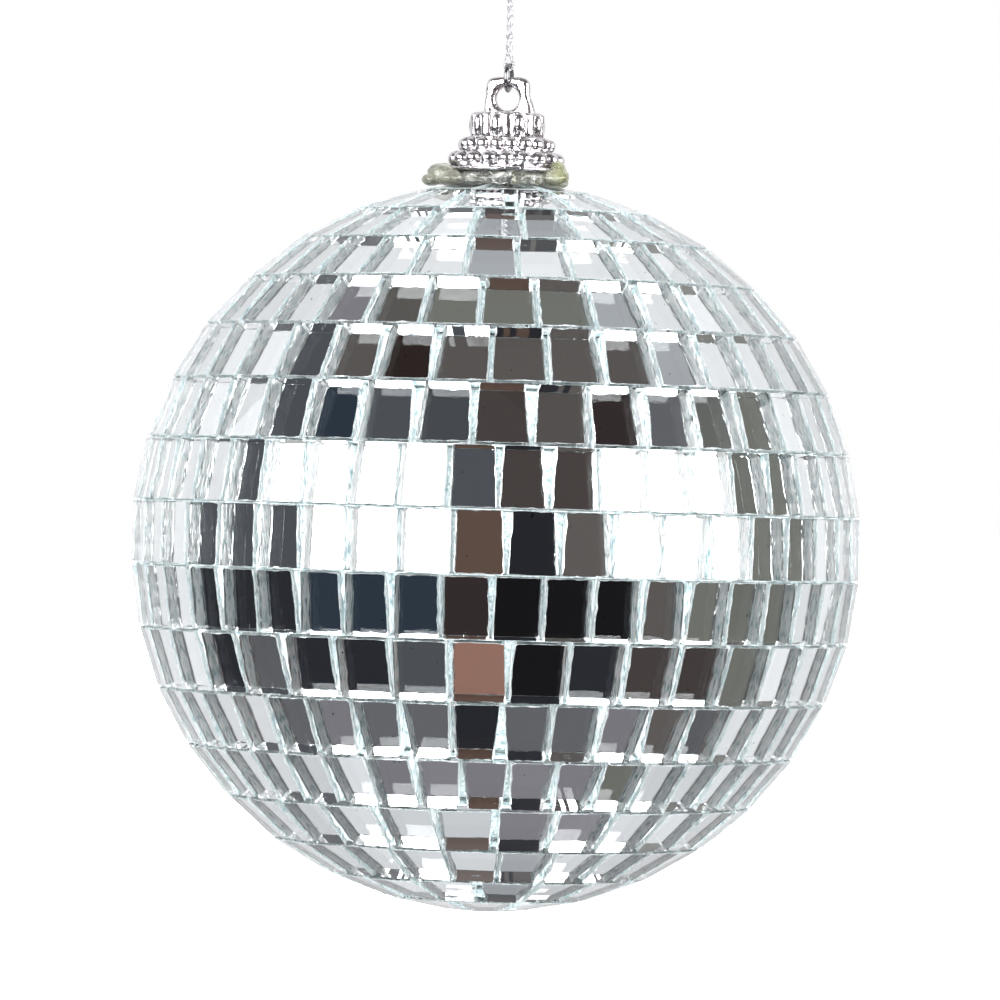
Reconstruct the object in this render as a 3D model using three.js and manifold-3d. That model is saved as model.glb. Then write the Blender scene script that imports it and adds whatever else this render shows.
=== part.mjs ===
import * as THREE from 'three';
import { mergeVertices } from 'three/addons/utils/BufferGeometryUtils.js';
import Module from 'manifold-3d';

// A hanging mirror ball: rings of flat glass mirror tiles on a foam core, a moulded crown with an
// eye, a split wire ring, and a twisted silver thread that ends in a hanging loop.
// Millimetres, +Z up. The origin is the inside top of the hanging loop, where a hook takes the load.

const wasm = await Module();
wasm.setup();

// Driving dimensions.
// The ball's radius is out to its tiles' corners; the middle of a tile's face lies a little lower.
const BALL_RADIUS = 40;
const CORNER_RISE = 0.2;
const GLASS_THICKNESS = 1.8;
const TAPE_THICKNESS = 0.25;
const NEIGHBOUR_GAP = 0.3;
const RING_ANGLE = 10;
const TILE_SHARE_OF_PITCH = 0.86;
const WIDEST_TILE = 5.6;

// The rings of tiles from the cap down, one every RING_ANGLE degrees. The counts differ, because the
// rings are laid by hand from strips of hand-cut tiles. A ring's turn is the angle of one tile's
// middle from the front of the ball, towards +X.
const FIRST_RING_LATITUDE = 81;
const RINGS = [
  { tiles: 8, turn: 5 },
  { tiles: 14, turn: -10 },
  { tiles: 23, turn: -2 },
  { tiles: 29, turn: -2.7 },
  { tiles: 32, turn: 1.3 },
  { tiles: 36, turn: 3.3 },
  { tiles: 38, turn: 0.6 },
  { tiles: 46, turn: -3.7 },
  { tiles: 44, turn: -2.4 },
  { tiles: 46, turn: -4.2 },
  { tiles: 38, turn: -2.1 },
  { tiles: 42, turn: -2.4 },
  { tiles: 40, turn: -0.8 },
  { tiles: 27, turn: -5 },
  { tiles: 24, turn: -4 },
  { tiles: 16, turn: 8 },
  { tiles: 9, turn: 0 },
];
const FRONT_AZIMUTH = -90;

const WIRE_DIAMETER = 0.5;
const WIRE_RING_INNER_RADIUS = 1.15;
const WIRE_RING_SPLIT_DEGREES = 12;

const STRAND_DIAMETER = 0.4;
const THREAD_DIAMETER = 0.8;
const CORD_SIDES = 8;
const KNOT_DIAMETER = 2.2;
const KNOT_HEIGHT = 2.6;
const HOOK_RADIUS = 2;

// Heights above the ball's centre.
const BAR_HEIGHT = 50.96;
const TAB_TOP = 51.5;
const EYE_HEIGHT = 49.1;
const EYE_RADIUS = 1.3;
const CAP_BASE = 41;
const PEG_BOTTOM = 29;
const PEG_RADIUS = 1.5;
const FLANGE_RADIUS = 6.5;

// The thread, from the loop's inside top downwards.
const KNOT_TOP = -27;
const THREAD_TOP = KNOT_TOP - KNOT_HEIGHT - NEIGHBOUR_GAP;
const THREAD_LENGTH = 7.2;
const THREAD_BOTTOM = THREAD_TOP - THREAD_LENGTH;

// Worked out from the dimensions above.
const RING_HALF_ANGLE = THREE.MathUtils.degToRad(RING_ANGLE / 2);
const LAST_BORDER = FIRST_RING_LATITUDE - RING_ANGLE * (RINGS.length - 0.5);
const FACE_DISTANCE = BALL_RADIUS - CORNER_RISE;
const TAPE_OUTSIDE = FACE_DISTANCE - GLASS_THICKNESS;
const TAPE_INSIDE = TAPE_OUTSIDE - TAPE_THICKNESS;
const CORE_RADIUS = TAPE_INSIDE - NEIGHBOUR_GAP;
const BIGHT_HEIGHT = 1.9;
const WIRE_RING_TOP = THREAD_BOTTOM - NEIGHBOUR_GAP - BIGHT_HEIGHT;
const WIRE_RING_CENTRE = WIRE_RING_TOP - WIRE_RING_INNER_RADIUS - WIRE_DIAMETER / 2;
const WIRE_RING_ABOVE_BAR = 0.42;
const BALL_CENTRE = WIRE_RING_CENTRE - WIRE_RING_ABOVE_BAR - BAR_HEIGHT;

function material(color, roughness, metalness) {
  return new THREE.MeshStandardMaterial({ color, roughness, metalness });
}

const mirrorGlass = material(0xdfe6e6, 0.05, 1);
const chromedPlastic = material(0xd4d2d6, 0.12, 1);
const steelWire = material(0x8a8a8c, 0.3, 1);
const silverThread = material(0xc9cacc, 0.45, 0.6);
const hotMelt = material(0xb9bb8a, 0.35, 0);
const foam = material(0xf4f4f0, 0.95, 0);

const mirrorBall = new THREE.Group();
const ball = new THREE.Group();
ball.position.z = BALL_CENTRE;
mirrorBall.add(ball);

function addMesh(parent, name, geometry, itsMaterial) {
  const mesh = new THREE.Mesh(geometry, itsMaterial);
  mesh.name = name;
  parent.add(mesh);
}

// The surface with shared corners and without the empty triangles at a lathe's poles.
function closedSurface(geometry) {
  geometry.deleteAttribute('normal');
  geometry.deleteAttribute('uv');
  const merged = mergeVertices(geometry, 1e-4);
  const corners = merged.index.array;
  const kept = [];
  for (let i = 0; i < corners.length; i += 3) {
    const [a, b, c] = corners.slice(i, i + 3);
    if (a !== b && b !== c && c !== a) kept.push(a, b, c);
  }
  merged.setIndex(kept);
  return merged;
}

// Turns an outline of [radius, height] points about the Z axis.
function turned(outline, segments) {
  const points = outline.map(([radius, height]) => new THREE.Vector2(radius, height));
  const geometry = new THREE.LatheGeometry(points, segments);
  geometry.rotateX(Math.PI / 2);
  return closedSurface(geometry);
}

function roundSection(diameter, sides) {
  const section = new THREE.Shape();
  for (let i = 0; i < sides; i += 1) {
    const angle = (2 * Math.PI * (i + 0.5)) / sides;
    const x = (diameter / 2) * Math.cos(angle);
    const y = (diameter / 2) * Math.sin(angle);
    if (i === 0) section.moveTo(x, y);
    else section.lineTo(x, y);
  }
  section.closePath();
  return section;
}

function cordAlong(curve, diameter, steps) {
  const section = roundSection(diameter, CORD_SIDES);
  return closedSurface(new THREE.ExtrudeGeometry(section, { steps, extrudePath: curve }));
}

function smoothCurve(points) {
  return new THREE.CatmullRomCurve3(points.map(([x, y, z]) => new THREE.Vector3(x, y, z)));
}

// The centre distance from the axis of a ring's tile face, at a height v up the tile.
function faceRadius(latitude, v) {
  return FACE_DISTANCE * Math.cos(latitude) - v * Math.sin(latitude);
}

function tileWidth(latitude, v, count) {
  const pitch = (2 * Math.PI * faceRadius(latitude, v)) / count;
  return Math.min(TILE_SHARE_OF_PITCH * pitch, WIDEST_TILE);
}

// A point of a tile, x along its ring and v up the tile on its face, carried in along the ball's
// radius to a plane at the given distance from the ball's centre.
function tilePoint(latitude, azimuth, x, v, distance) {
  const normal = new THREE.Vector3(Math.cos(latitude), 0, Math.sin(latitude));
  const up = new THREE.Vector3(-Math.sin(latitude), 0, Math.cos(latitude));
  const point = normal.multiplyScalar(FACE_DISTANCE).addScaledVector(up, v);
  point.y = x;
  point.multiplyScalar(distance / FACE_DISTANCE);
  return point.applyAxisAngle(new THREE.Vector3(0, 0, 1), azimuth);
}

// How far a tile's upper edge (side 1) or lower edge (side -1) lies from its middle. The edge nearer
// the equator is cut back, so that its two corners stay clear of the next ring.
function edgeHeight(latitude, side, count) {
  const whole = FACE_DISTANCE * Math.tan(RING_HALF_ANGLE) - NEIGHBOUR_GAP / 2;
  const border = Math.abs(latitude + side * RING_HALF_ANGLE);
  if (border > Math.abs(latitude)) return side * whole;
  const halfWidth = tileWidth(latitude, side * whole, count) / 2;
  return side * (whole - (halfWidth ** 2 * Math.tan(border)) / (2 * FACE_DISTANCE));
}

// One ring of flat tiles on its tape: a closed band, with a V-shaped gap between tiles.
function tileStrip(latitude, count, start) {
  const heights = [edgeHeight(latitude, 1, count), edgeHeight(latitude, -1, count)];
  const positions = [];
  const triangles = [];

  function edge(azimuth, side, distance) {
    return heights.map((v) => {
      const x = (side * tileWidth(latitude, v, count)) / 2;
      return tilePoint(latitude, azimuth, x, v, distance);
    });
  }

  function quad(a, b, c, d) {
    triangles.push(a, b, c, a, c, d);
  }

  for (let tile = 0; tile < count; tile += 1) {
    const azimuth = start + (2 * Math.PI * tile) / count;
    const next = start + (2 * Math.PI * (tile + 1)) / count;
    const tapeHere = edge(azimuth, 1, TAPE_OUTSIDE);
    const tapeNext = edge(next, -1, TAPE_OUTSIDE);
    const groove = tapeHere.map((point, i) => point.clone().lerp(tapeNext[i], 0.5));
    positions.push(
      ...edge(azimuth, -1, FACE_DISTANCE),
      ...edge(azimuth, -1, TAPE_INSIDE),
      ...edge(azimuth, 1, FACE_DISTANCE),
      ...edge(azimuth, 1, TAPE_INSIDE),
      ...groove,
    );
  }

  const perTile = 10;
  for (let tile = 0; tile < count; tile += 1) {
    const base = perTile * tile;
    const after = perTile * ((tile + 1) % count);
    const [faceTopL, faceLowL, backTopL, backLowL] = [base, base + 1, base + 2, base + 3];
    const [faceTopR, faceLowR, backTopR, backLowR] = [base + 4, base + 5, base + 6, base + 7];
    const [grooveTop, grooveLow] = [base + 8, base + 9];
    const [nextFaceTop, nextFaceLow, nextBackTop, nextBackLow] = [after, after + 1, after + 2, after + 3];
    quad(faceTopL, faceLowL, faceLowR, faceTopR);
    quad(backTopL, backTopR, backLowR, backLowL);
    quad(faceTopL, faceTopR, backTopR, backTopL);
    quad(faceLowL, backLowL, backLowR, faceLowR);
    quad(faceTopR, faceLowR, grooveLow, grooveTop);
    quad(grooveTop, grooveLow, nextFaceLow, nextFaceTop);
    quad(backTopR, nextBackTop, nextBackLow, backLowR);
    quad(faceTopR, grooveTop, nextBackTop, backTopR);
    triangles.push(grooveTop, nextFaceTop, nextBackTop);
    quad(faceLowR, backLowR, nextBackLow, grooveLow);
    triangles.push(grooveLow, nextBackLow, nextFaceLow);
  }

  const geometry = new THREE.BufferGeometry();
  geometry.setFromPoints(positions);
  geometry.setIndex(triangles);
  return geometry;
}

function addTileStrips() {
  RINGS.forEach((ring, i) => {
    const latitude = THREE.MathUtils.degToRad(FIRST_RING_LATITUDE - RING_ANGLE * i);
    const start = THREE.MathUtils.degToRad(FRONT_AZIMUTH + ring.turn);
    const name = `tile_strip_${String(i + 1).padStart(2, '0')}`;
    addMesh(ball, name, tileStrip(latitude, ring.tiles, start), mirrorGlass);
  });
}

// The eight-sided tile that closes the bottom of the ball.
function addBottomTile() {
  const sides = 8;
  const edgeAngle = THREE.MathUtils.degToRad(90 + LAST_BORDER);
  const faceEdge = FACE_DISTANCE * Math.tan(edgeAngle) - NEIGHBOUR_GAP;
  const backEdge = (faceEdge * TAPE_INSIDE) / FACE_DISTANCE;
  const outline = [
    [0, -FACE_DISTANCE], [faceEdge, -FACE_DISTANCE], [backEdge, -TAPE_INSIDE], [0, -TAPE_INSIDE],
  ];
  addMesh(ball, 'bottom_tile', turned(outline, sides), mirrorGlass);
}

// The foam ball, with the blind hole that takes the cap's peg.
function addFoamCore() {
  const holeRadius = PEG_RADIUS + NEIGHBOUR_GAP;
  const holeBottom = PEG_BOTTOM - 1;
  const steps = 14;
  const firstAngle = Math.asin(holeRadius / CORE_RADIUS);
  const outline = [];
  for (let i = 0; i <= steps; i += 1) {
    const angle = Math.PI - ((Math.PI - firstAngle) * i) / steps;
    outline.push([i === 0 ? 0 : CORE_RADIUS * Math.sin(angle), CORE_RADIUS * Math.cos(angle)]);
  }
  outline.push([holeRadius, holeBottom], [0, holeBottom]);
  addMesh(ball, 'foam_core', turned(outline, 28), foam);
}

// The eye: a flat tab across the X axis, with rounded shoulders and a round hole along Y.
function eyeTab() {
  const halfWidth = 2.5;
  const footHalfWidth = 3.1;
  const foot = 46.8;
  const footTop = 47.8;
  const waist = 49.3;
  const curveHeight = 48.4;
  const shoulder = 0.9;
  const bevel = 0.35;
  const thickness = 1.2;
  const outline = new THREE.Shape();
  outline.moveTo(-footHalfWidth, foot);
  outline.lineTo(footHalfWidth, foot);
  outline.lineTo(footHalfWidth, footTop);
  outline.quadraticCurveTo(halfWidth, curveHeight, halfWidth, waist);
  outline.lineTo(halfWidth, TAB_TOP - shoulder);
  outline.quadraticCurveTo(halfWidth, TAB_TOP, halfWidth - shoulder, TAB_TOP);
  outline.lineTo(shoulder - halfWidth, TAB_TOP);
  outline.quadraticCurveTo(-halfWidth, TAB_TOP, -halfWidth, TAB_TOP - shoulder);
  outline.lineTo(-halfWidth, waist);
  outline.quadraticCurveTo(-halfWidth, curveHeight, -footHalfWidth, footTop);
  outline.closePath();
  const eye = new THREE.Path();
  eye.absarc(0, EYE_HEIGHT, EYE_RADIUS, 0, 2 * Math.PI, true);
  outline.holes.push(eye);
  const geometry = new THREE.ExtrudeGeometry(outline, {
    depth: thickness - 2 * bevel,
    bevelThickness: bevel,
    bevelSize: bevel,
    bevelOffset: -bevel,
    bevelSegments: 2,
    curveSegments: 8,
  });
  geometry.translate(0, 0, bevel - thickness / 2);
  geometry.rotateX(Math.PI / 2);
  return closedSurface(geometry);
}

function toSolid(geometry) {
  return new wasm.Manifold(new wasm.Mesh({
    numProp: 3,
    vertProperties: new Float32Array(geometry.attributes.position.array),
    triVerts: new Uint32Array(geometry.index.array),
  }));
}

function fromSolid(solid) {
  const { vertProperties, triVerts } = solid.getMesh();
  const geometry = new THREE.BufferGeometry();
  geometry.setAttribute('position', new THREE.BufferAttribute(new Float32Array(vertProperties), 3));
  geometry.setIndex(new THREE.BufferAttribute(new Uint32Array(triVerts), 1));
  return geometry;
}

// The crown: peg, flange, two beaded tiers and a ribbed drum, with the eye on top.
function addCap() {
  const outline = [
    [0, PEG_BOTTOM], [1, PEG_BOTTOM], [PEG_RADIUS, PEG_BOTTOM + 1.5], [PEG_RADIUS, CAP_BASE],
    [6.3, CAP_BASE], [FLANGE_RADIUS, 41.2], [6.2, 41.5],
    [FLANGE_RADIUS, 42], [FLANGE_RADIUS, 42.7], [6, 43.2],
    [5.1, 43.3], [5.35, 43.7], [5.35, 44.2], [5, 44.6],
    [4.1, 44.7], [4.27, 45.1], [4.27, 46.7], [3.9, 47.3], [2.6, 47.55], [0, 47.6],
  ];
  const crown = toSolid(turned(outline, 24));
  const cap = crown.add(toSolid(eyeTab()));
  addMesh(ball, 'cap', fromSolid(cap), chromedPlastic);
}

// The height of the tiles' faces under the cap, at a distance from the axis.
function topTileHeight(radius) {
  const latitude = THREE.MathUtils.degToRad(FIRST_RING_LATITUDE);
  const v = (FACE_DISTANCE * Math.cos(latitude) - radius) / Math.sin(latitude);
  return FACE_DISTANCE * Math.sin(latitude) + v * Math.cos(latitude);
}

// Glue squeezed out under the flange: a ring that lies on the tiles, with a long lobe towards -X.
function addGlue() {
  const fixedRadius = FLANGE_RADIUS + NEIGHBOUR_GAP;
  const lobeSize = 0.9;
  const waveSize = 0.25;
  const waves = 5;
  const outline = [
    [1.9, 0], [4.2, 0], [fixedRadius, 0], [7.7, 0], [8, 0.5], [7.7, 1.2],
    [7.2, 1.6], [fixedRadius, 1.5], [fixedRadius, 1.05], [4.2, 0.75], [1.9, 0.4], [1.9, 0],
  ];
  const geometry = turned(outline, 24);
  const corners = geometry.attributes.position;
  for (let i = 0; i < corners.count; i += 1) {
    const [x, y, height] = [corners.getX(i), corners.getY(i), corners.getZ(i)];
    const angle = Math.atan2(y, x);
    const lobe = lobeSize * Math.max(0, -Math.cos(angle)) ** 3 + waveSize * Math.sin(waves * angle);
    const radius = Math.hypot(x, y);
    const grown = radius + Math.max(0, radius - fixedRadius) * lobe;
    corners.setXY(i, (x * grown) / radius, (y * grown) / radius);
    corners.setZ(i, topTileHeight(grown) + NEIGHBOUR_GAP + height);
  }
  addMesh(ball, 'hot_melt_glue', geometry, hotMelt);
}

// A split ring of wire, upright in the YZ plane, that hangs in the thread and holds the eye's bar.
function addJumpRing() {
  const radius = WIRE_RING_INNER_RADIUS + WIRE_DIAMETER / 2;
  const split = THREE.MathUtils.degToRad(WIRE_RING_SPLIT_DEGREES);
  const steps = 20;
  const points = [];
  for (let i = 0; i <= steps; i += 1) {
    const angle = split / 2 + ((2 * Math.PI - split) * i) / steps;
    points.push([0, radius * Math.cos(angle), WIRE_RING_CENTRE + radius * Math.sin(angle)]);
  }
  addMesh(mirrorBall, 'jump_ring', cordAlong(smoothCurve(points), WIRE_DIAMETER, steps), steelWire);
}

// The fold of the thread that goes through the ring and round its wire.
function addThreadBight() {
  const clearOfStrand = 0.05;
  const clearOfWire = 0.1;
  const straight = 0.5;
  const apart = STRAND_DIAMETER / 2 + clearOfStrand;
  const round = WIRE_DIAMETER / 2 + clearOfWire + STRAND_DIAMETER / 2;
  const nearlyRound = 0.85 * round;
  const aboveWire = WIRE_RING_TOP + 0.55;
  const end = THREAD_BOTTOM - NEIGHBOUR_GAP;
  const points = [[-apart, 0, end], [-apart, 0, end - straight], [-nearlyRound, 0, aboveWire]];
  for (const degrees of [180, 225, 270, 315, 360]) {
    const angle = THREE.MathUtils.degToRad(degrees);
    points.push([round * Math.cos(angle), 0, WIRE_RING_TOP + round * Math.sin(angle)]);
  }
  points.push([nearlyRound, 0, aboveWire], [apart, 0, end - straight], [apart, 0, end]);
  addMesh(mirrorBall, 'thread_bight', cordAlong(smoothCurve(points), STRAND_DIAMETER, 20), silverThread);
}

// The two strands twisted together, from the fold up to the knot.
function addHangingThread() {
  const points = [[0, 0, THREAD_BOTTOM], [0, 0, (THREAD_BOTTOM + THREAD_TOP) / 2], [0, 0, THREAD_TOP]];
  addMesh(mirrorBall, 'hanging_thread', cordAlong(smoothCurve(points), THREAD_DIAMETER, 4), silverThread);
}

// The overhand knot that divides the twisted length from the loop.
function addThreadKnot() {
  const half = KNOT_HEIGHT / 2;
  const widest = KNOT_DIAMETER / 2;
  const shoulder = 0.6 * half;
  const outline = [
    [0, -half], [0.5, -half], [1, -shoulder], [widest, 0], [1, shoulder], [0.5, half], [0, half],
  ];
  const geometry = turned(outline, 12);
  geometry.translate(0, 0, KNOT_TOP - half);
  addMesh(mirrorBall, 'thread_knot', geometry, silverThread);
}

// The loop, drawn tight over a hook by the ball's weight.
function addHangingLoop() {
  const round = HOOK_RADIUS + STRAND_DIAMETER / 2;
  const start = KNOT_TOP + NEIGHBOUR_GAP;
  const leg = [[0.25, start], [0.6, -22], [1.15, -15], [1.75, -8]];
  const points = leg.map(([x, z]) => [-x, 0, z]);
  for (const degrees of [172, 150, 120, 90, 60, 30, 8]) {
    const angle = THREE.MathUtils.degToRad(degrees);
    points.push([round * Math.cos(angle), 0, round * Math.sin(angle) - HOOK_RADIUS]);
  }
  points.push(...leg.reverse().map(([x, z]) => [x, 0, z]));
  addMesh(mirrorBall, 'hanging_loop', cordAlong(smoothCurve(points), STRAND_DIAMETER, 44), silverThread);
}

addFoamCore();
addTileStrips();
addBottomTile();
addGlue();
addCap();
addJumpRing();
addThreadBight();
addHangingThread();
addThreadKnot();
addHangingLoop();

export default mirrorBall;
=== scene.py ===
import math
import random

import bpy
from mathutils import Matrix, Vector, noise


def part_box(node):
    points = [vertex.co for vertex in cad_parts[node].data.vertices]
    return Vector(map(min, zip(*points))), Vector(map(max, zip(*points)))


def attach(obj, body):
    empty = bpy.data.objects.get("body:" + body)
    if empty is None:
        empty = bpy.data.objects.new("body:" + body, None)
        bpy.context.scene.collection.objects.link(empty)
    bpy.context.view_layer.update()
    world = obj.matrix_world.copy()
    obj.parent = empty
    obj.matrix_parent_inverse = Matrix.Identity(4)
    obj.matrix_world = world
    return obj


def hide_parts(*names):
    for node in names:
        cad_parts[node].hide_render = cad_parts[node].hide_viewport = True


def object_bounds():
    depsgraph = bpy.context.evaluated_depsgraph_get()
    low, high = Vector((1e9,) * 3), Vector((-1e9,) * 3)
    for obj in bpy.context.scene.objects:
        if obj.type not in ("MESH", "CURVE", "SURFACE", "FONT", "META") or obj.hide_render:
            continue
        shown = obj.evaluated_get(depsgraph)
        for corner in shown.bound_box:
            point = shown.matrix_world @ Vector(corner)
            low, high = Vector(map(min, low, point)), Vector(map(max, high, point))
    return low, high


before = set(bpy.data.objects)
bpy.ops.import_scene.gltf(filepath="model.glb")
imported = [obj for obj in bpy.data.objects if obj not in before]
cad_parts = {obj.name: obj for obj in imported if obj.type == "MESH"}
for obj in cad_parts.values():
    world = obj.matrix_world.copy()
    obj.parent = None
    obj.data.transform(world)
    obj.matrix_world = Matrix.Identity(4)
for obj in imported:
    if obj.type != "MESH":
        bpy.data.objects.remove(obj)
cad_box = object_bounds()

# A hanging mirror ball: glass tiles in rings, a moulded crown, a split ring and a twisted thread.
# Lengths are in metres; MM turns millimetres into metres. +Z is up and the ball's front is -Y.

MM = 0.001
random.seed(80)

# The ball. A tile's face is flat, so its middle lies closer to the ball's centre than its corners.
# Each ring of tiles is one RING_ANGLE of latitude; RINGS has each one's number of tiles, from the
# crown down, and how far in degrees its first tile is from the front.
FACE_DISTANCE = 39.8 * MM
GLASS_THICKNESS = 1.8 * MM
TILE_HALF_HEIGHT = 3.34 * MM
TILE_HALF_WIDTH = 2.9 * MM
BALL_CENTRE = Vector((0, 0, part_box("bottom_tile")[0].z + FACE_DISTANCE))
RING_ANGLE = 10
FIRST_RING_LATITUDE = 81
RINGS = [
    (8, 5), (14, -10), (23, -2), (29, -2.7), (32, 1.3), (36, 3.3), (38, 0.6), (46, -3.7), (44, -2.4),
    (46, -4.2), (38, -2.1), (42, -2.4), (40, -0.8), (27, -5), (24, -4), (16, 8), (9, 0),
]
FRONT_AZIMUTH = -90

# The crown, in millimetres above the ball's centre: its underside, its flange and its eye.
CROWN_BASE = 41
FLANGE_RADIUS = 6.5
EYE_HEIGHT = 49.1
EYE_RADIUS = 1.3
EYE_TURN = math.radians(-16)

# The thread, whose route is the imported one. Its box and its knot's give the heights.
STRAND_DIAMETER = 0.4 * MM
WIRE_RADIUS = 0.25 * MM
KNOT_LOW, KNOT_HIGH = (corner.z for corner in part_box("thread_knot"))
THREAD_LOW, THREAD_HIGH = (corner.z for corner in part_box("hanging_thread"))
HOOK_RADIUS = 2 * MM
TWIST_PITCH = 2 * MM


# Camera

def make_camera():
    """Level, far off with a long lens, rolled a little and aimed a little above the ball's centre."""
    distance = 0.8
    roll = math.radians(1.6)
    aim_right, aim_up = 0.49 * MM, 5.11 * MM
    right = Vector((math.cos(roll), 0, math.sin(roll)))
    up = Vector((-math.sin(roll), 0, math.cos(roll)))
    back = Vector((0, -1, 0))
    data = bpy.data.cameras.new("camera")
    data.sensor_width = 36
    data.lens = 262.8
    data.clip_start = 0.05
    data.clip_end = 60
    camera = bpy.data.objects.new("camera", data)
    place = BALL_CENTRE + back * distance + right * aim_right + up * aim_up
    turn = Matrix((right, up, back)).transposed().to_4x4()
    camera.matrix_world = Matrix.Translation(place) @ turn
    bpy.context.scene.collection.objects.link(camera)
    bpy.context.scene.camera = camera


# Materials

def linear(hex_colour):
    """An sRGB colour such as 5a5650 as linear red, green, blue and alpha."""
    parts = [int(hex_colour[i:i + 2], 16) / 255 for i in (0, 2, 4)]
    return [p / 12.92 if p <= 0.04045 else ((p + 0.055) / 1.055) ** 2.4 for p in parts] + [1.0]


class Nodes:
    """A node tree with short calls for the nodes that the materials and the world share."""

    def __init__(self, owner):
        owner.use_nodes = True
        self.tree = owner.node_tree
        self.tree.nodes.clear()

    def add(self, kind, **settings):
        node = self.tree.nodes.new(kind)
        for name, value in settings.items():
            setattr(node, name, value)
        return node

    def link(self, value, socket):
        if isinstance(value, bpy.types.NodeSocket):
            self.tree.links.new(value, socket)
        else:
            socket.default_value = value

    def math(self, operation, a, b=0.0, c=0.0):
        node = self.add("ShaderNodeMath", operation=operation)
        for value, socket in zip((a, b, c), node.inputs):
            self.link(value, socket)
        return node.outputs[0]

    def step(self, value, start, end):
        """0 where value is before start, 1 after end, and smooth between."""
        node = self.add("ShaderNodeMapRange", interpolation_type="SMOOTHSTEP")
        self.link(value, node.inputs["Value"])
        node.inputs["From Min"].default_value = start
        node.inputs["From Max"].default_value = end
        return node.outputs["Result"]

    def mix(self, share, a, b, blend_type="MIX"):
        node = self.add("ShaderNodeMix", data_type="RGBA", blend_type=blend_type)
        self.link(share, node.inputs[0])
        self.link(a, node.inputs[6])
        self.link(b, node.inputs[7])
        return node.outputs[2]

    def ramp(self, value, stops):
        node = self.add("ShaderNodeValToRGB")
        self.link(value, node.inputs[0])
        ramp = node.color_ramp
        while len(ramp.elements) < len(stops):
            ramp.elements.new(0.5)
        for element, (place, colour) in zip(ramp.elements, stops):
            element.position = place
            element.color = linear(colour)
        return node.outputs[0]

    def object_point(self, scale=(1, 1, 1)):
        coordinates = self.add("ShaderNodeTexCoord")
        mapping = self.add("ShaderNodeMapping")
        mapping.inputs["Scale"].default_value = scale
        self.tree.links.new(coordinates.outputs["Object"], mapping.inputs["Vector"])
        return mapping.outputs[0]

    def noise(self, point, scale, detail=3.0):
        node = self.add("ShaderNodeTexNoise")
        self.link(point, node.inputs["Vector"])
        node.inputs["Scale"].default_value = scale
        node.inputs["Detail"].default_value = detail
        return node.outputs[0]

    def bump(self, height, distance, strength=1.0):
        node = self.add("ShaderNodeBump")
        self.link(height, node.inputs["Height"])
        node.inputs["Distance"].default_value = distance
        node.inputs["Strength"].default_value = strength
        return node.outputs[0]

    def principled(self, **values):
        shader = self.add("ShaderNodeBsdfPrincipled")
        output = self.add("ShaderNodeOutputMaterial")
        self.tree.links.new(shader.outputs[0], output.inputs["Surface"])
        for name, value in values.items():
            self.link(value, shader.inputs[name.replace("_", " ")])
        return shader


def new_material(name):
    material = bpy.data.materials.new(name)
    return material, Nodes(material)


def broken_surface(nodes, point, noise_scale, cell_scale):
    """The noise of a broken surface, and the same with the facets of cells added, for its bump."""
    grain = nodes.noise(point, noise_scale, 4)
    cells = nodes.add("ShaderNodeTexVoronoi", feature="F1")
    nodes.link(point, cells.inputs["Vector"])
    cells.inputs["Scale"].default_value = cell_scale
    return grain, nodes.math("ADD", grain, cells.outputs["Distance"])


def clear_glass():
    """The tiles' polished faces and the clean-cut edges along the rings."""
    material, nodes = new_material("clear_glass")
    waves = nodes.noise(nodes.object_point(), 120, 2)
    nodes.principled(
        Base_Color=linear("f9fcfc"), Roughness=0.0, IOR=1.52, Transmission_Weight=1.0,
        Normal=nodes.bump(waves, 0.02 * MM, 0.15),
    )
    return material


def snapped_glass():
    """The tiles' side edges and chipped rims: scored and snapped, so pale, streaky and glinting."""
    material, nodes = new_material("snapped_glass")
    streaks, height = broken_surface(nodes, nodes.object_point((1, 1, 0.3)), 2300, 2600)
    stops = [(0.33, "b4ccd0"), (0.42, "dcecee"), (0.55, "f3f9fa"), (0.66, "ffffff")]
    nodes.principled(
        Base_Color=nodes.ramp(streaks, stops), Roughness=0.07, IOR=1.52, Transmission_Weight=0.8,
        Normal=nodes.bump(height, 0.09 * MM, 0.8),
    )
    return material


def wetted_glass():
    """The deeper half of the tiles' side edges, where adhesive has crept up between them. Its colour runs
    from the adhesive's greyish aqua up to white streaks, which are painted light on walls that lie in the
    shade of the narrow gaps.
    """
    material, nodes = new_material("wetted_glass")
    smears_and_painted_light, height = broken_surface(nodes, nodes.object_point((1, 1, 0.4)), 2000, 2600)
    # The white end of this ramp is painted light for the shaded walls of the gaps.
    stops = [(0.34, "8fabb0"), (0.42, "d6e5e8"), (0.5, "f5fafb"), (0.58, "ffffff")]
    nodes.principled(
        Base_Color=nodes.ramp(smears_and_painted_light, stops), Roughness=0.2, IOR=1.52, Transmission_Weight=0.12,
        Normal=nodes.bump(height, 0.1 * MM, 0.8),
    )
    return material


def silvering():
    """The mirror coating on the tiles' backs, with a few dull specks."""
    material, nodes = new_material("silvering")
    point = nodes.object_point()
    specks = nodes.step(nodes.noise(point, 1500, 1), 0.76, 0.8)
    nodes.principled(
        Base_Color=nodes.mix(specks, linear("f2f3f4"), linear("8f9896")),
        Metallic=1.0, Roughness=0.0,
    )
    return material


def backing_tape():
    """The pale tape and adhesive under the tiles, with glass crumbs in the gaps between them: the crumbs'
    facets are in the bump, and their white specks in the colour are painted sparkle.
    """
    material, nodes = new_material("backing_tape")
    crumb_tone_and_painted_sparkle, height = broken_surface(nodes, nodes.object_point(), 2600, 2400)
    # The crumbs' colour: greyish aqua up to white specks, which are painted sparkle.
    stops = [(0.34, "93adb0"), (0.45, "cbdcde"), (0.58, "e6f0f2"), (0.7, "ffffff")]
    nodes.principled(
        Base_Color=nodes.ramp(crumb_tone_and_painted_sparkle, stops), Roughness=0.35, Normal=nodes.bump(height, 0.12 * MM, 0.8),
    )
    return material


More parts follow.
